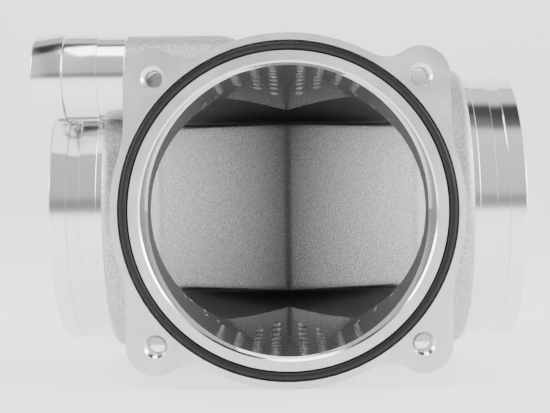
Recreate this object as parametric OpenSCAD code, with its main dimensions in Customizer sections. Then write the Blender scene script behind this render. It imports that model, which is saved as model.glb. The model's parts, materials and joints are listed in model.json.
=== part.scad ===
// T-shaped intake plenum: a cast housing that takes a throttle body on its front flange and
// splits the air to two hose stubs, with the flange's O-ring and a pressed-in hose fitting.
// +Z is up, +Y runs into the throat, and the origin is the bore's centre on the flange face.

/* [Throttle bore and seal] */
// Diameter of the machined throttle bore
bore_d = 82; // [68:0.5:100]
// Depth of the bore that is machined all the way round
bore_depth = 3; // [2:0.5:5]
// How much further out the machined bore is than the cast throat behind it
bore_step = 0.5; // [0.1:0.1:1]
// Width of the chamfer round the bore's mouth
bore_chamfer = 0.5; // [0.2:0.1:1]
// Width of the flange face between the bore and the seal groove
bore_land = 3.2; // [2:0.1:6]
// Cord diameter of the O-ring
seal_cord_d = 2.6; // [2:0.1:4]
// Gap on each side of the O-ring in its groove
seal_side_gap = 0.2; // [0.1:0.05:0.5]
// How far the O-ring stands out of the flange face
seal_proud = 0.5; // [0.2:0.1:0.8]
// Width of the flange face outside the seal groove
rim_w = 2; // [1.5:0.1:5]

/* [Flange] */
// Thickness of the flange
flange_t = 8; // [7:0.5:16]
// How far the bolt holes stand outside the flange's round rim
bolt_reach = 3.1; // [2:0.1:8]
// Diameter of the tapped bolt holes, to the thread's crest
bolt_hole_d = 5; // [3.3:0.1:8.5]
// Diameter of the countersink at each bolt hole's mouth
bolt_mouth_d = 6.4; // [5:0.1:12]
// Metal left round a countersink at each ear
ear_w = 5; // [3:0.5:8]
// Radius of the hollow between an ear and the rim
ear_fillet_r = 8; // [4:1:14]
// Radius of the hollow where an ear's side meets the rim
side_fillet_r = 30; // [15:1:45]

/* [Cross tube] */
// Inside diameter of the outlets
outlet_d = 74.3; // [61:0.5:88]
// Wall of the machined outlet stubs
stub_wall = 4.5; // [3:0.1:7]
// Length of each machined stub beyond the cast body
stub_l = 15.8; // [12:0.5:30]
// How far the cast body stands out over the stubs
cast_step = 2.5; // [1.5:0.1:5]
// Radius of the cast body's shoulders
shoulder_r = 2; // [0.5:0.1:3]
// Length of the cast body beyond the throat's neck on each side
arm_l = 8.5; // [5:0.5:30]
// Distance from the flange face to the front of the cast tube
neck_l = 18.15; // [4:0.5:30]
// Wall of the neck round the throat
neck_wall = 5; // [3:0.5:6]

/* [Stub profile] */
// Length of the small locating land beside the cast body
seat_l = 1.9; // [1:0.1:4]
// Height of the locating land over the hose land
seat_step = 0.5; // [0.2:0.1:1]
// Length of the hose land
land_l = 5; // [3:0.1:8]
// Width of the retaining groove
groove_w = 3.7; // [2:0.1:5]
// Depth of the retaining groove
groove_depth = 0.7; // [0.3:0.1:1.5]
// Chamfer on the stub's outer end
stub_chamfer = 0.5; // [0.2:0.1:1.2]

/* [Flow splitter] */
// Distance from the tube's axis back to the splitter's nose
nose_back = 2; // [2:0.5:14]
// Distance from the tube's axis back to the flat rear wall
wall_back = 25.5; // [18:0.5:26]
// Half width of the splitter's V
splitter_half_w = 44; // [22:1:44]
// Half length of the flat rear wall
rear_half_w = 45; // [38:1:47]
// Height of the splitter
splitter_h = 55.4; // [44:0.2:60]
// Radius of the splitter's nose
nose_r = 2; // [1:0.5:4]
// Thickness of the wall behind the splitter
splitter_wall = 6; // [4:0.5:8]
// Angle of each throat ramp's leg from the bore's axis
ramp_angle = 40; // [40:1:55]
// How much wider than the bore the ramps' legs start
ramp_lead = 0.4; // [0.2:0.1:1]

/* [Hose fitting] */
// Diameter of the cast hose boss
boss_d = 24.2; // [21:0.2:30]
// Distance from the flange's face to the boss's axis
boss_back = 20.5; // [15:0.5:24]
// How far the boss's axis is below the top of the bore
boss_drop = 2; // [0:0.2:3]
// How far the boss runs outward past the bolt holes
boss_reach = 8.7; // [8:0.5:16]
// Distance from the bore's axis to the boss's blind end
boss_start = 20; // [14:1:24]
// Bore of the hose fitting
fitting_bore_d = 16; // [10:0.5:17]
// Least gap between the hose fitting's seat and the cross tube
fitting_gap = 0.3; // [0.3:0.1:3]
// Wall of the fitting's spigot inside the boss
spigot_wall = 1.5; // [1.2:0.1:2]
// Length of the spigot pressed into the boss
spigot_l = 10; // [6:0.5:11]
// Length of the plain collar between the boss and the first step
collar_l = 8.3; // [4:0.5:14]
// Length of the hose seat between the first step and the barb
hose_seat_l = 9.6; // [6:0.2:20]
// Length of the barb
barb_l = 9; // [5:0.1:14]
// Step up from the collar to the hose seat
seat_rise = 0.4; // [0.2:0.1:1]
// Height of the barb's crest over the hose seat
barb_rise = 0.7; // [0.3:0.1:1.5]
// Fall of the barb from its crest to its tip
barb_fall = 0.8; // [0.4:0.1:1.5]
// Chamfer on the fitting's tip
tip_chamfer = 0.7; // [0.3:0.1:1.5]
// Diameter of the port from the boss into the left duct
port_d = 6; // [6:0.5:9]
// Wall of the cast web round the port
port_wall = 3.5; // [2.5:0.5:5]

/* [Hidden] */
$fn = 96;
cut = 1; // how far a cutting shape runs past the face that it opens

bore_r = bore_d / 2;
throat_r = bore_r - bore_step;
groove_in_r = bore_r + bore_land;
groove_out_r = groove_in_r + seal_cord_d + 2 * seal_side_gap;
seal_r = (groove_in_r + groove_out_r) / 2;
groove_deep = seal_cord_d - seal_proud;
rim_r = groove_out_r + rim_w;
bolt_at = (rim_r + bolt_reach) / sqrt(2);
ear_r = bolt_mouth_d / 2 + ear_w;
side_x = bolt_at + ear_r;

boss_r = boss_d / 2;
boss_y = boss_back;
boss_z = bore_r - boss_drop;
hose_seat_r = boss_r + seat_rise;

outlet_r = outlet_d / 2;
stub_r = outlet_r + stub_wall;
cast_r = stub_r + cast_step;
beside_boss = sqrt(pow(cast_r + hose_seat_r + fitting_gap, 2) - pow(boss_z, 2));
axis_y = max(neck_l + cast_r, boss_y + beside_boss);
neck_r = bore_r + neck_wall;
cast_half = neck_r + arm_l;
half_l = cast_half + stub_l;
land_from = cast_half + seat_l;
groove_from = land_from + land_l;

nose_y = axis_y + nose_back;
wall_y = axis_y + wall_back;
tube_back_y = axis_y + outlet_r;
slope = atan((wall_y - nose_y) / splitter_half_w);
pocket_h = splitter_h - splitter_wall;

boss_end = bolt_at + boss_reach;
socket_r = fitting_bore_d / 2 + spigot_wall;
collar_r = boss_r;
crest_r = hose_seat_r + barb_rise;
tip_r = crest_r - barb_fall;
port_from = [-(boss_end - spigot_l - port_d / 2), boss_y, boss_z];
port_to = [-neck_r, axis_y - port_d, outlet_r - port_d];

// Centre of the circle of radius r that touches the rim and an ear from outside
function hollow_centre(r) =
    let (d = bolt_at * sqrt(2), a = rim_r + r, b = ear_r + r, k = (a * a - b * b + d * d) / (2 * d))
    let (s = sqrt(a * a - k * k))
    [(k - s) / sqrt(2), (k + s) / sqrt(2)];

// Turns a child drawn along +Z so that it runs along +Y, or along +X
module along_y() {
    rotate([-90, 0, 0]) children();
}

module along_x() {
    rotate([0, 90, 0]) children();
}

// A straight round bar of radius r from one point to another, to add or to cut away
module bar(from, to, r) {
    d = to - from;
    translate(from) rotate([0, acos(d.z / norm(d)), atan2(d.y, d.x)]) cylinder(h = norm(d), r = r);
}

// One quarter of the flange's outline: rim, ear and the two hollows that blend them
module flange_quarter() {
    c = hollow_centre(ear_fillet_r);
    side_z = sqrt(pow(rim_r + side_fillet_r, 2) - pow(side_x + side_fillet_r, 2));
    translate([bolt_at, bolt_at]) circle(r = ear_r);
    difference() {
        polygon([[0, 0], [bolt_at, bolt_at], c]);
        translate(c) circle(r = ear_fillet_r);
    }
    difference() {
        polygon([[0, 0], [side_x + side_fillet_r, side_z], [side_x, side_z], [side_x, bolt_at], [bolt_at, bolt_at]]);
        translate([side_x + side_fillet_r, side_z]) circle(r = side_fillet_r);
    }
}

module flange_outline() {
    circle(r = rim_r);
    for (x = [0, 1], z = [0, 1]) mirror([x, 0]) mirror([0, z]) flange_quarter();
}

// Half section of the cast tube and its stub, to be turned about the tube's axis
module stub_section() {
    seat_r = stub_r + seat_step;
    square([cast_r, cast_half - shoulder_r]);
    square([cast_r - shoulder_r, cast_half]);
    translate([cast_r - shoulder_r, cast_half - shoulder_r]) circle(r = shoulder_r);
    square([seat_r, land_from]);
    difference() {
        polygon([
            [0, 0], [stub_r, 0], [stub_r, half_l - stub_chamfer], [stub_r - stub_chamfer, half_l], [0, half_l]
        ]);
        stub_groove();
    }
}

// The shallow round-bottomed groove that holds the hose
module stub_groove() {
    r = (pow(groove_w / 2, 2) + pow(groove_depth, 2)) / (2 * groove_depth);
    translate([stub_r - groove_depth + r, groove_from + groove_w / 2]) circle(r = r);
}

module cross_tube() {
    translate([0, axis_y, 0]) for (side = [-1, 1])
        rotate([0, side * 90, 0]) rotate_extrude() stub_section();
}

module hose_boss() {
    bar(port_from, port_to, port_d / 2 + port_wall);
    translate([-boss_end, boss_y, boss_z]) along_x() cylinder(h = boss_end - boss_start, r = boss_r);
    translate([-boss_start, boss_y, boss_z]) sphere(r = boss_r);
}

// The throat behind the machined bore: two legs that part left and right leave a keel at top and bottom
module throat() {
    leg_l = axis_y / cos(ramp_angle) + cut;
    for (side = [-1, 1]) intersection() {
        along_y() cylinder(h = axis_y, r = throat_r);
        translate([min(side, 0) * bore_d, 0, -bore_d]) cube([bore_d, axis_y, 2 * bore_d]);
        rotate([0, 0, -side * ramp_angle]) along_y() translate([0, 0, -cut])
            cylinder(h = leg_l, r1 = throat_r + ramp_lead, r2 = outlet_r);
    }
}

// Plan of the rear wall: a V with a rounded nose, flats beside it and ramps out to the stubs
module splitter_plan(back) {
    out = rear_half_w + tube_back_y - wall_y;
    half = nose_r * sin(slope);
    nose_end = nose_y + half * tan(slope);
    translate([0, nose_y + nose_r / cos(slope)]) circle(r = nose_r);
    polygon([
        [half, nose_end], [splitter_half_w, wall_y], [rear_half_w, wall_y], [out, tube_back_y], [out, back],
        [-out, back], [-out, tube_back_y], [-rear_half_w, wall_y], [-splitter_half_w, wall_y], [-half, nose_end]
    ]);
}

module splitter() {
    translate([0, 0, -splitter_h / 2]) linear_extrude(splitter_h) splitter_plan(tube_back_y + cut);
}

module duct() {
    difference() {
        translate([-half_l - cut, axis_y, 0]) along_x() cylinder(h = 2 * (half_l + cut), r = outlet_r);
        splitter();
    }
}

// The V-shaped hollow in the tube's back, which keeps the wall behind the splitter even
module rear_valley() {
    far = axis_y + cast_r + cut;
    deep = splitter_wall / cos(slope);
    wide = (far - nose_y - deep) / tan(slope);
    flat_y = wall_y + splitter_wall;
    flat_x = (flat_y - nose_y - deep) / tan(slope);
    translate([0, 0, -pocket_h / 2]) linear_extrude(pocket_h) polygon([
        [0, nose_y + deep], [flat_x, flat_y], [rear_half_w, flat_y], [rear_half_w, far],
        [-rear_half_w, far], [-rear_half_w, flat_y], [-flat_x, flat_y]
    ]);
}

// The fitting's socket in the boss, and the port that leads down into the left duct
module hose_passage() {
    mouth = [-boss_end, boss_y, boss_z];
    translate(mouth - [cut, 0, 0]) along_x() cylinder(h = spigot_l + cut, r = socket_r);
    translate(mouth) along_x() cylinder(h = spigot_l + port_d, r = fitting_bore_d / 2);
    bar(port_from, port_to, port_d / 2);
}

module bolt_hole() {
    sink = (bolt_mouth_d - bolt_hole_d) / 2;
    along_y() {
        cylinder(h = flange_t + cut, r = bolt_hole_d / 2);
        cylinder(h = sink, r1 = bolt_mouth_d / 2, r2 = bolt_hole_d / 2);
    }
}

module seal_groove() {
    along_y() difference() {
        translate([0, 0, -cut]) cylinder(h = groove_deep + cut, r = groove_out_r);
        translate([0, 0, -2 * cut]) cylinder(h = groove_deep + 4 * cut, r = groove_in_r);
    }
}

module plenum_casting() {
    color("lightgray") difference() {
        union() {
            translate([0, flange_t, 0]) rotate([90, 0, 0]) linear_extrude(flange_t) flange_outline();
            along_y() cylinder(h = axis_y, r = neck_r);
            cross_tube();
            hose_boss();
        }
        duct();
        throat();
        translate([0, -cut, 0]) along_y() cylinder(h = bore_depth + cut, r = bore_r);
        along_y() cylinder(h = bore_chamfer, r1 = bore_r + bore_chamfer, r2 = bore_r);
        seal_groove();
        for (x = [-1, 1], z = [-1, 1]) translate([x * bolt_at, 0, z * bolt_at]) bolt_hole();
        rear_valley();
        hose_passage();
    }
}

module flange_o_ring() {
    color("black") translate([0, groove_deep - seal_cord_d / 2, 0]) along_y()
        rotate_extrude() translate([seal_r, 0]) circle(d = seal_cord_d, $fn = 48);
}

module hose_fitting() {
    barb_from = collar_l + hose_seat_l;
    tip = barb_from + barb_l;
    color("silver") translate([-boss_end, boss_y, boss_z]) rotate([0, -90, 0]) rotate_extrude() polygon([
        [fitting_bore_d / 2, -spigot_l], [socket_r, -spigot_l], [socket_r, 0], [collar_r, 0], [collar_r, collar_l],
        [hose_seat_r, collar_l], [hose_seat_r, barb_from], [crest_r, barb_from],
        [tip_r, tip - tip_chamfer], [tip_r - tip_chamfer, tip], [fitting_bore_d / 2, tip]
    ]);
}

plenum_casting();
flange_o_ring();
hose_fitting();
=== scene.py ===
import json
import math

import bmesh
import bpy
from mathutils import Matrix, Vector
from mathutils.bvhtree import BVHTree


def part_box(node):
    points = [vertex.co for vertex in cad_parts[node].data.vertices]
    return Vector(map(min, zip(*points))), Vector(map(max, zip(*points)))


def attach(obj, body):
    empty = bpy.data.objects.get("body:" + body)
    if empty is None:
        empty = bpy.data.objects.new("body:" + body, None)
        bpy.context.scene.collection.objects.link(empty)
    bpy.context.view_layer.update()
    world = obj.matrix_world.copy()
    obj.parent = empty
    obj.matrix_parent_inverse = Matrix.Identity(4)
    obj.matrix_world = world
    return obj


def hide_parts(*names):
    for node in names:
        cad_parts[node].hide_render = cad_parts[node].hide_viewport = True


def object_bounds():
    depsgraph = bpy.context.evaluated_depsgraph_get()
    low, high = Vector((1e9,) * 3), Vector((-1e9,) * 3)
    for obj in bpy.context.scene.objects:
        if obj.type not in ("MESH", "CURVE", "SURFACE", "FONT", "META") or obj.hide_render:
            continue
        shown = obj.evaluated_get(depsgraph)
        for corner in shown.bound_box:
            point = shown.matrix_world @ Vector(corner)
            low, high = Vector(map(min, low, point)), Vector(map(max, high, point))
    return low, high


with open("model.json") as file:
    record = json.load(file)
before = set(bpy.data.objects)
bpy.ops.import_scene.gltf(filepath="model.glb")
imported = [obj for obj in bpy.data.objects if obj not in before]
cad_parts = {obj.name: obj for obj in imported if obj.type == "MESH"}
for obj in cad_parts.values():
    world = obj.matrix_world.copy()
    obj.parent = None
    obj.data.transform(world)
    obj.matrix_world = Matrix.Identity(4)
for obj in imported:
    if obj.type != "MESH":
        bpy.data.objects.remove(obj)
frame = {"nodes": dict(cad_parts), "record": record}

cadLow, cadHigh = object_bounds()
mounts = {m["name"]: m for m in frame["record"]["mounts"]}
mm = 0.001  # pieces are shaped in millimetres and shrunk to metres at the end
yAxis, xAxis = Vector((0, 1, 0)), Vector((1, 0, 0))
print("frame loaded")


def radiusOf(name):
    return mounts[name]["dims"]["r_mm"]


def placeOf(name):
    return Vector(mounts[name]["pos_m"]) / mm


boreR = radiusOf("throttle_bore")
stubR = radiusOf("right_stub")
ductWall = 4.5
ductR = stubR - ductWall
tubeY = placeOf("right_stub").y
boltAt = mounts["throttle_bolts"]["dims"]["spacing_x_mm"] / 2
hoseAxis = placeOf("hose_seat")
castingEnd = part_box("plenum_casting")[1].x / mm
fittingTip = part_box("hose_fitting")[0].x / mm
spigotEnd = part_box("hose_fitting")[1].x / mm
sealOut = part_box("flange_o_ring")[1].x / mm
sealLow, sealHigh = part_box("flange_o_ring")[0].y / mm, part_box("flange_o_ring")[1].y / mm


def finished(bm, name, finishes=()):
    # closes a bmesh into an object, with outward normals
    bmesh.ops.remove_doubles(bm, verts=bm.verts, dist=1e-4)
    bmesh.ops.recalc_face_normals(bm, faces=bm.faces)
    mesh = bpy.data.meshes.new(name)
    bm.to_mesh(mesh)
    bm.free()
    for finish in finishes:
        mesh.materials.append(finish)
    piece = bpy.data.objects.new(name, mesh)
    bpy.context.scene.collection.objects.link(piece)
    return piece


def turnTo(axis):
    return Vector((0, 0, 1)).rotation_difference(axis).to_matrix().to_4x4()


def rod(name, start, axis, length, r, farR=None, segments=256, finishes=()):
    # a capped cylinder or cone that starts at a point and runs along an axis
    bm = bmesh.new()
    middle = Matrix.Translation(start + axis * length / 2) @ turnTo(axis)
    bmesh.ops.create_cone(bm, cap_ends=True, segments=segments, radius1=r,
                          radius2=r if farR is None else farR, depth=length, matrix=middle)
    return finished(bm, name, finishes)


def block(name, low, high, finishes=()):
    bm = bmesh.new()
    size = Matrix.Diagonal((*(high - low), 1))
    bmesh.ops.create_cube(bm, size=1, matrix=Matrix.Translation((low + high) / 2) @ size)
    return finished(bm, name, finishes)


def turned(name, profile, start, axis, steps=256, finishes=()):
    # spins a closed outline of (distance along the axis, radius) points about the axis
    bm = bmesh.new()
    verts = [bm.verts.new((r, 0, along)) for along, r in profile]
    edges = [bm.edges.new((a, b)) for a, b in zip(verts, verts[1:] + verts[:1])]
    bmesh.ops.spin(bm, geom=verts + edges, cent=(0, 0, 0), axis=(0, 0, 1), angle=math.tau,
                   steps=steps, use_merge=True)
    bmesh.ops.transform(bm, matrix=Matrix.Translation(start) @ turnTo(axis), verts=bm.verts)
    return finished(bm, name, finishes)


def applied(piece):
    # replaces the piece's mesh by what its modifiers make
    seen = piece.evaluated_get(bpy.context.evaluated_depsgraph_get())
    fresh = bpy.data.meshes.new_from_object(seen)
    piece.modifiers.clear()
    piece.data = fresh
    return piece


def combine(piece, tool, operation):
    step = piece.modifiers.new("combine", "BOOLEAN")
    step.solver = "MANIFOLD"
    step.material_mode = "TRANSFER"
    step.operation = operation
    step.object = tool
    applied(piece)
    bpy.data.objects.remove(tool)
    return piece


def cut(piece, tool):
    return combine(piece, tool, "DIFFERENCE")


def weld(piece, tool):
    return combine(piece, tool, "UNION")


def modified(piece, kind, **values):
    step = piece.modifiers.new(kind.lower(), kind)
    for name, value in values.items():
        setattr(step, name, value)
    return applied(piece)


def toMetres(piece, sharpAngle):
    piece.data.transform(Matrix.Scale(mm, 4))
    piece.data.shade_smooth()
    piece.data.set_sharp_from_angle(angle=math.radians(sharpAngle))
    return piece


def feed(tree, socket, value):
    # a socket takes either a link from another node or a value of its own
    if isinstance(value, bpy.types.NodeSocket):
        tree.links.new(value, socket)
    else:
        socket.default_value = (*value, 1) if isinstance(value, tuple) else value


def nodeAt(tree, kind, x, y, **values):
    made = tree.nodes.new(kind)
    made.location = (x, y)
    for name, value in values.items():
        setattr(made, name, value)
    return made


def objectPlace(tree, x, y):
    return nodeAt(tree, "ShaderNodeTexCoord", x, y).outputs["Object"]


def mathOf(tree, operation, x, y, *values, **settings):
    made = nodeAt(tree, "ShaderNodeMath", x, y, operation=operation, **settings)
    for socket, value in zip(made.inputs, values):
        feed(tree, socket, value)
    return made.outputs[0]


def rangeOf(tree, x, y, value, low, high, toLow=0.0, toHigh=1.0):
    # maps one stretch of values onto another, held at its ends
    made = nodeAt(tree, "ShaderNodeMapRange", x, y)
    for name, given in (("Value", value), ("From Min", low), ("From Max", high),
                        ("To Min", toLow), ("To Max", toHigh)):
        feed(tree, made.inputs[name], given)
    return made.outputs["Result"]


def mixOf(tree, x, y, kind, factor, first, second, **settings):
    made = nodeAt(tree, "ShaderNodeMix", x, y, data_type=kind, **settings)
    for name, given in (("Factor", factor), ("A", first), ("B", second)):
        feed(tree, made.inputs[name], given)
    return made.outputs["Result"]


def noiseOf(tree, x, y, vector, **values):
    made = nodeAt(tree, "ShaderNodeTexNoise", x, y)
    for name, value in {"Vector": vector, **values}.items():
        feed(tree, made.inputs[name], value)
    return made.outputs["Fac"]


def distanceOf(tree, x, y, place, shift, keep):
    # distance from an axis: the place is flattened along it, shifted and measured
    flat = nodeAt(tree, "ShaderNodeMapping", x, y)
    flat.inputs["Location"].default_value = shift
    flat.inputs["Scale"].default_value = keep
    tree.links.new(place, flat.inputs["Vector"])
    measured = nodeAt(tree, "ShaderNodeVectorMath", x + 200, y, operation="LENGTH")
    tree.links.new(flat.outputs["Vector"], measured.inputs[0])
    return measured.outputs["Value"]


def sandGrainGroup():
    # fine sand-cast grain: a height for the bump and a speckle mask for the colour
    look = {"size": 0.0005, "smooth": 0.6, "detail": 4.0, "roughness": 0.65, "grainShare": 0.6,
            "speckle": (0.35, 0.68)}
    group = bpy.data.node_groups.new("sandGrain", "ShaderNodeTree")
    size = group.interface.new_socket("Grain Size", in_out="INPUT", socket_type="NodeSocketFloat")
    size.default_value = look["size"]
    for name in ("Height", "Speckle"):
        group.interface.new_socket(name, in_out="OUTPUT", socket_type="NodeSocketFloat")
    source = nodeAt(group, "NodeGroupInput", -900, 0)
    sink = nodeAt(group, "NodeGroupOutput", 700, 0)
    place = objectPlace(group, -900, -200)
    perMetre = mathOf(group, "DIVIDE", -700, 0, 1.0, source.outputs["Grain Size"])
    grains = nodeAt(group, "ShaderNodeTexVoronoi", -480, 160, feature="SMOOTH_F1")
    for name, value in (("Vector", place), ("Scale", perMetre), ("Smoothness", look["smooth"])):
        feed(group, grains.inputs[name], value)
    clumps = noiseOf(group, -480, -120, place, Scale=perMetre, Detail=look["detail"],
                     Roughness=look["roughness"])
    height = mathOf(group, "MULTIPLY_ADD", -160, 80, grains.outputs["Distance"], look["grainShare"], clumps)
    feed(group, sink.inputs["Height"], height)
    feed(group, sink.inputs["Speckle"], rangeOf(group, 200, -120, clumps, *look["speckle"]))
    return group


def newFinish(name, **values):
    finish = bpy.data.materials.new(name)
    finish.use_nodes = True
    shader = finish.node_tree.nodes["Principled BSDF"]
    for socket, value in values.items():
        shader.inputs[socket.replace("_", " ")].default_value = value
    return finish, finish.node_tree, shader


def bumpOn(tree, shader, height, distance, strength=1.0):
    bump = nodeAt(tree, "ShaderNodeBump", -220, -300)
    for name, value in (("Strength", strength), ("Distance", distance), ("Height", height)):
        feed(tree, bump.inputs[name], value)
    tree.links.new(bump.outputs["Normal"], shader.inputs["Normal"])


def colourOn(tree, shader, mask, dark, light):
    tree.links.new(mixOf(tree, -300, 200, "RGBA", mask, dark, light), shader.inputs["Base Color"])


def castFinish(grainGroup):
    look = {
        "grain": 0.00055,
        "bump": 0.00013,
        "roughness": 0.46,
        "dark": (0.3, 0.3, 0.3),
        "light": (0.72, 0.72, 0.715),
        "nose": 0.07,  # share of its brightness that the splitter keeps at the nose, as painted shade
        "noseHalf": 0.047,  # distance from the nose at which it keeps all of it
        "duct": (0.052, 0.058),  # depths over which the throat gives way to the cross tube
        "throat": 0.36,  # share of its brightness that the throat keeps, as painted shade
        "throatR": (0.0413, 0.0408),
        # painted shade: the near-black colour of the shadowed pockets in the cross tube
        "paintedPocketShade": (0.06, 0.06, 0.06),
        "pocketShadeUp": (0.0268, 0.0282),  # heights over which the tube's roof and floor are painted dark with shade
        "pocketShadeBack": (0.048, 0.056),
        "metal": (1.0, 0.15),  # how metallic the skin is outside the tube and in it
    }
    finish, tree, shader = newFinish("castAluminium", Roughness=look["roughness"])
    grain = nodeAt(tree, "ShaderNodeGroup", -700, 0, node_tree=grainGroup)
    grain.inputs["Grain Size"].default_value = look["grain"]
    place = objectPlace(tree, -1300, 500)
    split = nodeAt(tree, "ShaderNodeSeparateXYZ", -1100, 500)
    tree.links.new(place, split.inputs[0])
    wide = mathOf(tree, "ABSOLUTE", -900, 900, split.outputs["X"])
    tall = mathOf(tree, "ABSOLUTE", -900, 600, split.outputs["Z"])
    fromTube = distanceOf(tree, -1100, 300, place, (0, -tubeY * mm, 0), (0, 1, 1))
    fromBore = distanceOf(tree, -1100, 1400, place, (0, 0, 0), (1, 0, 1))
    inTube = rangeOf(tree, -700, 300, fromTube, (ductR + 2) * mm, (ductR + 1) * mm)
    behind = rangeOf(tree, -700, 1150, split.outputs["Y"], *look["duct"])
    inDuct = mathOf(tree, "MULTIPLY", -500, 1100, behind, inTube)

    # painted shade: the splitter's skin is darkened towards its nose, where less light reaches it
    fade = rangeOf(tree, -700, 900, wide, 0.0, look["noseHalf"], toLow=look["nose"])
    paintedNoseShade = mixOf(tree, -300, 900, "FLOAT", inDuct, 1.0, fade)

    # painted shade: the skin inside the throat is darkened, standing in for the shade inside the bore
    inBore = rangeOf(tree, -700, 1400, fromBore, *look["throatR"])
    ahead = mathOf(tree, "SUBTRACT", -500, 1300, inBore, inDuct, use_clamp=True)
    paintedThroatShade = mixOf(tree, -300, 1300, "FLOAT", ahead, 1.0, look["throat"])

    # painted shade: the roof and floor of the cross tube beside the splitter are darkened to stand in for the
    # deep shadow in those pockets
    above = rangeOf(tree, -700, 600, tall, *look["pocketShadeUp"])
    within = rangeOf(tree, -700, 500, split.outputs["Y"], *look["pocketShadeBack"])
    paintedPocketShade = mathOf(tree, "MULTIPLY", -500, 600, above, within)
    paintedPocketShade = mathOf(tree, "MULTIPLY", -500, 500, paintedPocketShade, inTube)

    colour = mixOf(tree, -300, 200, "RGBA", grain.outputs["Speckle"], look["dark"], look["light"])
    for shade in (paintedNoseShade, paintedThroatShade):
        colour = mixOf(tree, -150, 650, "RGBA", 1.0, colour, shade, blend_type="MULTIPLY")
    colour = mixOf(tree, -100, 400, "RGBA", paintedPocketShade, colour, look["paintedPocketShade"])
    tree.links.new(colour, shader.inputs["Base Color"])
    tree.links.new(rangeOf(tree, -300, 1500, inDuct, 0.0, 1.0, *look["metal"]), shader.inputs["Metallic"])
    bumpOn(tree, shader, grain.outputs["Height"], look["bump"])
    return finish


def milledFinish():
    # the flange face: satin, with soft cloudy patches left by the face cutter and hand finishing
    look = {"cloud": 70.0, "scratch": 900.0, "dark": (0.45, 0.45, 0.45), "light": (1.0, 1.0, 0.995),
            "roughness": (0.34, 0.52), "bump": 0.00001}
    finish, tree, shader = newFinish("milledAluminium", Metallic=1.0)
    place = objectPlace(tree, -1100, 0)
    cloud = noiseOf(tree, -800, 200, place, Scale=look["cloud"], Detail=5.0, Distortion=0.6)
    scratch = noiseOf(tree, -800, -200, place, Scale=look["scratch"], Detail=3.0)
    colourOn(tree, shader, cloud, look["dark"], look["light"])
    rough = rangeOf(tree, -400, 0, cloud, 0.0, 1.0, *look["roughness"])
    tree.links.new(rough, shader.inputs["Roughness"])
    bumpOn(tree, shader, scratch, look["bump"], 0.5)
    return finish


def turnedFinish(name, roughness, darkest=0.78):
    # lathe-turned metal on an axis along X: fine rings across the axis
    look = {"ringScale": 5200.0, "bump": 0.0000012, "light": (0.92, 0.92, 0.915)}
    finish, tree, shader = newFinish(name, Metallic=1.0, Roughness=roughness)
    alongX = nodeAt(tree, "ShaderNodeMapping", -900, 0)
    alongX.inputs["Scale"].default_value = (1.0, 0.0, 0.0)
    tree.links.new(objectPlace(tree, -1100, 0), alongX.inputs["Vector"])
    rings = noiseOf(tree, -680, 100, alongX.outputs["Vector"], Scale=look["ringScale"], Detail=2.0)
    colourOn(tree, shader, rings, (darkest,) * 3, look["light"])
    bumpOn(tree, shader, rings, look["bump"])
    return finish


def rubberFinish():
    look = {"mottle": 700.0, "bump": 0.00001, "dark": (0.008, 0.008, 0.008), "light": (0.02, 0.02, 0.02)}
    finish, tree, shader = newFinish("sealRubber", Roughness=0.42, Specular_IOR_Level=0.25)
    mottle = noiseOf(tree, -700, 0, objectPlace(tree, -900, 0), Scale=look["mottle"])
    colourOn(tree, shader, mottle, look["dark"], look["light"])
    bumpOn(tree, shader, mottle, look["bump"], 0.4)
    return finish


castSkin = castFinish(sandGrainGroup())
milled = milledFinish()
turnedMetal = turnedFinish("turnedAluminium", 0.16)
boredMetal = turnedFinish("boredAluminium", 0.34, 0.3)
rubber = rubberFinish()
print("finishes made")


casting = {
    "voxel": 0.9,  # grid of the cast skin, which sets how far its edges are rounded
    "smoothing": 5,  # passes that soften the skin into fillets
    "keep": 0.5,  # share of the skin's triangles that stay
    "stock": 4.0,  # metal left in front of machined faces until they are cut
    "ringDepth": 14.5,  # depth of the machined bore at its sides; it fades out above and below
    "ringStock": 0.8,  # how far the cast skin stands inside the bore before it is machined
    "ringBack": 0.3,  # how far the rough bore ends before the machined one
    "wedgeHalf": 60,
    "wedgeEdge": 0.05,
    "boreChamfer": 0.5,
    "grooveDepth": sealHigh,
    "grooveGap": 0.2,
    "flangeT": 8.0,
    "socketR": 9.5,
    "socketDepth": 10.0,
    "bossStock": 0.5,
    "reach": 90,  # past the part on every side
}
hole = {
    "r": mounts["throttle_bolts"]["dims"]["hole_r_mm"],
    "fillR": 4.5,
    "sinkR": 3.25,
    "pitch": 1.0,
    "thread": ((0.1, 0), (0.45, 0.5), (0.6, 0.5), (0.95, 0)),  # one turn: how far along, how deep
    "steps": 64,
}
stub = {
    "length": 15.8,  # from the end of the cast skin to the tip
    "seat": 1.9,
    "seatRise": 0.5,
    "land": 5.0,
    "groove": 3.7,
    "grooveDepth": 0.7,
    "lipEdge": 0.5,
    "seatEdge": 0.15,
    "grooveEdge": 0.1,
    "boreEdge": 0.4,
    "sawR": 60,
    "sawReach": 30,
}
past = 1  # how far a cutter or a fill runs beyond the surface that it meets
origin = Vector((0, 0, 0))
stubStart = castingEnd - stub["length"]
bossFace = Vector((spigotEnd - casting["socketDepth"], hoseAxis.y, hoseAxis.z))
bossR = radiusOf("hose_seat") - 0.4
grooveOut = sealOut + casting["grooveGap"]
grooveIn = sealOut - (sealHigh - sealLow) - casting["grooveGap"]
ears = [(side * boltAt, up * boltAt) for side in (-1, 1) for up in (-1, 1)]


def wedgeOf(depth, front):
    # a prism that narrows to a line at mid height, so that what it cuts fades out above and below
    half, edge = casting["wedgeHalf"], casting["wedgeEdge"]
    bm = bmesh.new()
    bmesh.ops.create_cube(bm, size=1)
    for vert in bm.verts:
        near = vert.co.y < 0
        vert.co = Vector((math.copysign(half, vert.co.x), front if near else depth,
                          math.copysign(half if near else edge, vert.co.z)))
    return finished(bm, "wedge")


def ring(name, front, back, inner, outer, finishes=()):
    outline = [(front, inner), (front, outer), (back, outer), (back, inner)]
    return turned(name, outline, origin, yAxis, finishes=finishes)


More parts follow.
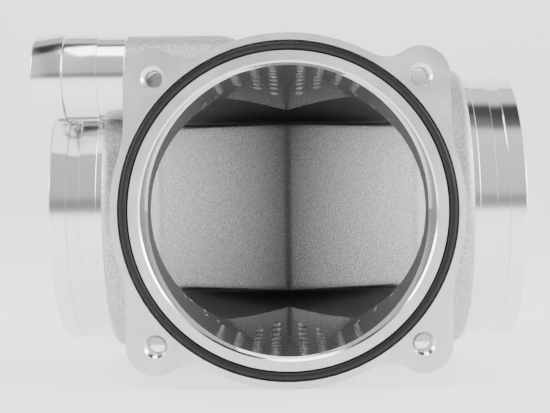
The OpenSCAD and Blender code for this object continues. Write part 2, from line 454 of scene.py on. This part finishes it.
def castBlank():
    # the rough casting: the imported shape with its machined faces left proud, softened into a cast skin
    stock = casting["stock"]
    bm = bmesh.new()
    bm.from_mesh(frame["nodes"]["plenum_casting"].data)
    bmesh.ops.remove_doubles(bm, verts=bm.verts, dist=1e-6)
    bmesh.ops.transform(bm, matrix=Matrix.Scale(1 / mm, 4), verts=bm.verts)
    for vert in bm.verts:
        if vert.co.y < 0.01:
            vert.co.y -= stock
    blank = finished(bm, "castingBlank")
    fill = [ring("fill", -stock, casting["grooveDepth"] + past, grooveIn - past, grooveOut + past)]
    for x, z in ears:
        fill.append(rod("fill", Vector((x, -stock, z)), yAxis, stock + casting["flangeT"] - 0.2,
                        hole["fillR"], segments=48))
    fill.append(rod("fill", bossFace - xAxis * 3, xAxis, 3 + casting["bossStock"] + casting["socketDepth"],
                    bossR, segments=128))
    lip = ring("lip", -stock, casting["ringDepth"], boreR - casting["ringStock"], boreR + 2)
    combine(lip, wedgeOf(casting["ringDepth"] - casting["ringBack"], -stock - past), "INTERSECT")
    for piece in fill + [lip]:
        weld(blank, piece)
    modified(blank, "REMESH", mode="VOXEL", voxel_size=casting["voxel"], adaptivity=0)
    modified(blank, "SMOOTH", factor=0.5, iterations=casting["smoothing"])
    modified(blank, "DECIMATE", ratio=casting["keep"])
    blank.data.materials.clear()
    blank.data.materials.append(castSkin)
    return blank


casting3d = castBlank()
print("cast skin softened", len(casting3d.data.polygons))

dimples = {
    "columns": (4.0, 9.3, 14.6, 19.6),
    "firstY": 3.6,
    "lastY": 33.5,
    "pitch": 3.25,
    "r": 1.45,
    "depth": 0.8,
    "proud": 0.9,  # how far the pressing tool stands out of the skin
    "flare": 1.05,
    "bowlSteps": 4,
    "steps": 20,
    "steepest": 0.95,  # no dimple where the skin faces along the throat by more than this
    "lone": ((-24.5, 33.0), (-21.2, 36.5), (-25.5, 38.5), (-29.5, 35.0), (-31.0, 30.0), (25.5, 33.0),
             (30.5, 31.0), (20.5, 36.5), (26.0, 38.0), (33.5, 26.0), (30.0, 34.5)),
}


def dimpleOutline():
    r, depth, steps = dimples["r"], dimples["depth"], dimples["bowlSteps"]
    ballR = (r * r + depth * depth) / (2 * depth)
    angles = [math.asin(r / ballR) * i / steps for i in range(steps + 1)]
    bowl = [(ballR - depth - ballR * math.cos(a), ballR * math.sin(a)) for a in angles]
    return bowl + [(dimples["proud"], r * dimples["flare"]), (dimples["proud"], 0)]


def dimpleCutter():
    # shallow round pits pressed into the roof and floor of the throat
    tree = BVHTree.FromPolygons([v.co for v in casting3d.data.vertices],
                                [p.vertices for p in casting3d.data.polygons])
    outline = dimpleOutline()
    rows = int((dimples["lastY"] - dimples["firstY"]) / dimples["pitch"]) + 1
    spots = [(side * x, dimples["firstY"] + i * dimples["pitch"])
             for x in dimples["columns"] for side in (-1, 1) for i in range(rows)]
    bm = bmesh.new()
    for up in (-1, 1):
        for x, y in spots + list(dimples["lone"]):
            hit, normal, _, _ = tree.ray_cast(Vector((x, y, 0)), Vector((0, 0, up)))
            if hit is None or abs(normal.y) > dimples["steepest"]:
                continue
            inward = normal if normal.z * up < 0 else -normal
            one = bmesh.new()
            verts = [one.verts.new((max(rad, 0), 0, along)) for along, rad in outline]
            edges = [one.edges.new(pair) for pair in zip(verts, verts[1:])]
            bmesh.ops.spin(one, geom=verts + edges, cent=(0, 0, 0), axis=(0, 0, 1), angle=math.tau,
                           steps=dimples["steps"], use_merge=True)
            bmesh.ops.remove_doubles(one, verts=one.verts, dist=1e-4)
            bmesh.ops.transform(one, matrix=Matrix.Translation(hit) @ turnTo(inward), verts=one.verts)
            part = bpy.data.meshes.new("pit")
            one.to_mesh(part)
            one.free()
            bm.from_mesh(part)
            bpy.data.meshes.remove(part)
    return finished(bm, "dimples", [castSkin])


cut(casting3d, dimpleCutter())
print("dimples pressed", len(casting3d.data.polygons))


def threadedHole(x, z):
    # a tapped hole: a countersink, then thread rings at the screw's pitch
    r, along = hole["r"], hole["sinkR"] - hole["r"]
    end = casting["flangeT"] + 2 * past
    outline = [(-past, 0), (-past, hole["sinkR"] + past), (along, r)]
    while along + hole["pitch"] < end - past:
        outline += [(along + step, r + depth) for step, depth in hole["thread"]]
        along += hole["pitch"]
    outline += [(end, r), (end, 0)]
    return turned("hole", outline, Vector((x, 0, z)), yAxis, steps=hole["steps"], finishes=[turnedMetal])


def machineFlange(piece):
    front, reach = -2 * casting["stock"], casting["reach"]
    cut(piece, block("facing", Vector((-reach, front, -reach)), Vector((reach, 0, reach)), [milled]))
    boring = rod("boring", yAxis * front, yAxis, casting["ringDepth"] - front, boreR, finishes=[boredMetal])
    cut(piece, combine(boring, wedgeOf(casting["ringDepth"], front), "INTERSECT"))
    edge = casting["boreChamfer"]
    cut(piece, rod("chamfer", -yAxis * past, yAxis, past + edge, boreR + edge + past, boreR,
                   finishes=[turnedMetal]))
    cut(piece, ring("groove", -past, casting["grooveDepth"], grooveIn, grooveOut, [milled]))
    for x, z in ears:
        cut(piece, threadedHole(x, z))


def stubRing(side):
    # one turned outlet stub: seat, land, hose groove and lip
    seatEnd = stubStart + stub["seat"]
    landEnd = seatEnd + stub["land"]
    grooveEnd = landEnd + stub["groove"]
    seatR, grooveR = stubR + stub["seatRise"], stubR - stub["grooveDepth"]
    lipEdge, seatEdge = stub["lipEdge"], stub["seatEdge"]
    edge, boreEdge = stub["grooveEdge"], stub["boreEdge"]
    outline = [(stubStart - past, ductR), (stubStart - past, seatR), (seatEnd - seatEdge, seatR),
               (seatEnd, seatR - seatEdge), (seatEnd, stubR), (landEnd - edge, stubR),
               (landEnd, stubR - edge), (landEnd, grooveR),
               (grooveEnd, grooveR), (grooveEnd, stubR - edge), (grooveEnd + edge, stubR),
               (castingEnd - lipEdge, stubR), (castingEnd, stubR - lipEdge),
               (castingEnd, ductR + boreEdge), (castingEnd - boreEdge, ductR)]
    return turned("stub", outline, Vector((0, tubeY, 0)), xAxis * side, finishes=[turnedMetal])


def machineStubs(piece):
    for side in (-1, 1):
        start = Vector((side * stubStart, tubeY, 0))
        cut(piece, rod("sawing", start, xAxis * side, stub["sawReach"], stub["sawR"], finishes=[turnedMetal]))
        weld(piece, stubRing(side))


def machineBoss(piece):
    cut(piece, rod("facing", bossFace - xAxis * 5, xAxis, 5, bossR + casting["bossStock"], segments=128,
                   finishes=[turnedMetal]))
    cut(piece, rod("socket", bossFace - xAxis * past, xAxis, casting["socketDepth"] + past,
                   casting["socketR"], segments=128, finishes=[turnedMetal]))


machineFlange(casting3d)
machineStubs(casting3d)
machineBoss(casting3d)
casting3d.name = "plenumCasting"
toMetres(casting3d, 32)
print("casting machined", len(casting3d.data.polygons))

seal = {
    "steps": 320,
    "around": 28,
    "flash": 0.06,  # how far the moulding line stands out, at the cord's inside and outside
}


def makeSeal():
    cord = (sealHigh - sealLow) / 2
    middle = (sealHigh + sealLow) / 2
    outline = []
    for i in range(seal["around"]):
        angle = math.tau * i / seal["around"]
        bulge = cord - seal["flash"] * (0 if i % (seal["around"] // 2) == 0 else 1)
        outline.append((middle + bulge * math.sin(angle), sealOut - cord + bulge * math.cos(angle)))
    return turned("flangeSeal", outline, origin, yAxis, steps=seal["steps"], finishes=[rubber])


fitting = {
    "collar": 8.3,
    "seat": 9.6,
    "seatR": radiusOf("hose_seat"),
    "seatRise": 0.4,
    "seatEdge": 0.1,
    "barb": ((-0.5, 0), (-0.15, 0.2), (0, 0.6), (0.2, 0.7)),  # along from its start, out from the seat
    "tipFall": 0.1,  # how far the barb's end lies inside the seat's radius
    "tip": ((-0.7, 0), (-0.2, -0.3), (0, -0.7)),
    "boreR": radiusOf("hose_bore"),
    "edge": 0.3,
    "mouthEdge": 0.5,
}


def makeFitting():
    # a turned barb, from its spigot in the boss out to its tip
    f = fitting
    tip = bossFace.x - fittingTip
    collarR, tipR = f["seatR"] - f["seatRise"], f["seatR"] - f["tipFall"]
    edge, mouth, boreR = f["edge"], f["mouthEdge"], f["boreR"]
    barb = f["collar"] + f["seat"]
    outline = [(-casting["socketDepth"], boreR), (-casting["socketDepth"], casting["socketR"]),
               (0, casting["socketR"]), (0, collarR - edge), (edge, collarR),
               (f["collar"] - f["seatEdge"], collarR), (f["collar"], f["seatR"])]
    outline += [(barb + along, f["seatR"] + rise) for along, rise in f["barb"]]
    outline += [(tip + along, tipR + rise) for along, rise in f["tip"]]
    outline += [(tip, boreR + mouth), (tip - mouth, boreR)]
    return turned("hoseFitting", outline, bossFace, -xAxis, finishes=[turnedMetal])


seal3d = toMetres(makeSeal(), 40)
fitting3d = toMetres(makeFitting(), 32)
print("seal and fitting turned")

for piece, node, slot in ((casting3d, "plenum_casting", "cast_aluminium"),
                          (seal3d, "flange_o_ring", "seal_rubber"),
                          (fitting3d, "hose_fitting", "turned_aluminium")):
    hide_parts(node)
    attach(piece, "root")

studio = {
    # strips of the studio round the part, by the angle up from straight in front, and how bright each is
    "strips": ((-180, 0.7), (-95, 0.6), (-25, 0.5), (-9, 0.36), (8, 0.3), (12, 0.8), (68, 0.95),
               (73, 0.02), (98, 0.02), (104, 0.95), (122, 0.95), (126, 0.05), (140, 0.05), (146, 0.95),
               (180, 0.95)),
    "sides": 1.7,  # how much brighter the studio is straight out to either side
    "sidesFrom": (0.55, 0.9),
    "tilt": 0.55,  # and how much brighter to the right than to the left
    "strength": 1.05,
    # each lamp's place, size and power
    "lamps": {
        "key": (Vector((-0.1, -0.2, 0.75)), 0.35, 3.0),
        "right": (Vector((0.75, 0.0, 0.3)), 0.4, 5.0),
        "left": (Vector((-0.75, 0.0, 0.3)), 0.4, 5.0),
    },
    "lampTarget": Vector((0, 0.03, 0)),
    "cameraAt": Vector((0, -0.330, 0.006)),
    "lens": 78.5,
    "shiftX": -0.0236,
    "shiftY": -0.0318,
    "roll": 0.7,
}
sweep = {
    "front": -1.5,
    "depth": 1.6,
    "half": 3.0,
    "bend": 0.6,
    "bendSteps": 12,
    "top": 3.0,
    "paper": (0.84, 0.84, 0.84),
    "glow": 1.15,
}


def softBox(name, at, size, power):
    light = bpy.data.lights.new(name, "AREA")
    light.size = size
    light.energy = power
    lamp = bpy.data.objects.new(name, light)
    lamp.location = at
    lamp.rotation_euler = (studio["lampTarget"] - at).to_track_quat("-Z", "Y").to_euler()
    bpy.context.scene.collection.objects.link(lamp)


def makeCamera():
    camera = bpy.data.objects.new("mainCamera", bpy.data.cameras.new("mainCamera"))
    camera.data.lens = studio["lens"]
    camera.data.shift_x, camera.data.shift_y = studio["shiftX"], studio["shiftY"]
    camera.location = studio["cameraAt"]
    camera.rotation_euler = (math.radians(90), math.radians(studio["roll"]), 0)
    bpy.context.scene.collection.objects.link(camera)
    return camera


def makeSweep():
    # a pale floor that curves up into a backdrop
    bm = bmesh.new()
    floor, depth, half = cadLow.z, sweep["depth"], sweep["half"]
    bend, steps = sweep["bend"], sweep["bendSteps"]
    angles = [math.pi / 2 * i / steps for i in range(steps + 1)]
    line = [(sweep["front"], floor)]
    line += [(depth + bend * math.sin(a), floor + bend * (1 - math.cos(a))) for a in angles]
    line += [(depth + bend, sweep["top"])]
    verts = [bm.verts.new((-half, y, z)) for y, z in line]
    edges = [bm.edges.new(pair) for pair in zip(verts, verts[1:])]
    across = bmesh.ops.extrude_edge_only(bm, edges=edges)["geom"]
    farSide = [made for made in across if isinstance(made, bmesh.types.BMVert)]
    bmesh.ops.translate(bm, vec=(2 * half, 0, 0), verts=farSide)
    paper, tree, shader = newFinish("studioPaper", Roughness=0.9)
    for name, value in (("Base Color", sweep["paper"]), ("Emission Color", (1, 1, 1)),
                        ("Emission Strength", sweep["glow"])):
        feed(tree, shader.inputs[name], value)
    made = finished(bm, "studioSweep", [paper])
    made.data.shade_smooth()
    return made


def makeWorld():
    # a studio of bright and dark strips that run left to right, which turned metal mirrors as bands
    world = bpy.data.worlds.new("studioWorld")
    world.use_nodes = True
    tree = world.node_tree
    split = nodeAt(tree, "ShaderNodeSeparateXYZ", -1100, 0)
    feed(tree, split.inputs[0], nodeAt(tree, "ShaderNodeTexCoord", -1300, 0).outputs["Generated"])
    ahead = mathOf(tree, "MULTIPLY", -900, -80, split.outputs["Y"], -1.0)
    angle = mathOf(tree, "ARCTAN2", -720, 0, split.outputs["Z"], ahead)
    strips = nodeAt(tree, "ShaderNodeValToRGB", -360, 0)
    stops = strips.color_ramp.elements
    places = studio["strips"]
    for stop, (_, light) in zip((stops[0], stops[-1]), (places[0], places[-1])):
        stop.color = (light, light, light, 1)
    for degrees, light in places[1:-1]:
        stops.new((degrees + 180) / 360).color = (light, light, light, 1)
    feed(tree, strips.inputs["Fac"], rangeOf(tree, -540, 0, angle, -math.pi, math.pi))
    sideways = mathOf(tree, "ABSOLUTE", -720, -300, split.outputs["X"])
    sideGain = rangeOf(tree, -540, -300, sideways, *studio["sidesFrom"], toHigh=studio["sides"])
    tilt = mathOf(tree, "MULTIPLY_ADD", -540, -560, split.outputs["X"], studio["tilt"], 1.0)
    both = mathOf(tree, "ADD", -160, -100, strips.outputs["Color"], sideGain)
    level = mathOf(tree, "MULTIPLY", 0, -100, both, tilt)
    sky = tree.nodes["Background"]
    feed(tree, sky.inputs["Color"], (1, 1, 1))
    feed(tree, sky.inputs["Strength"], mathOf(tree, "MULTIPLY", 160, -100, level, studio["strength"]))
    return world


for name, lamp in studio["lamps"].items():
    softBox(name, *lamp)
bpy.context.scene.camera = makeCamera()
makeSweep()
bpy.context.scene.world = makeWorld()
print("stage set")
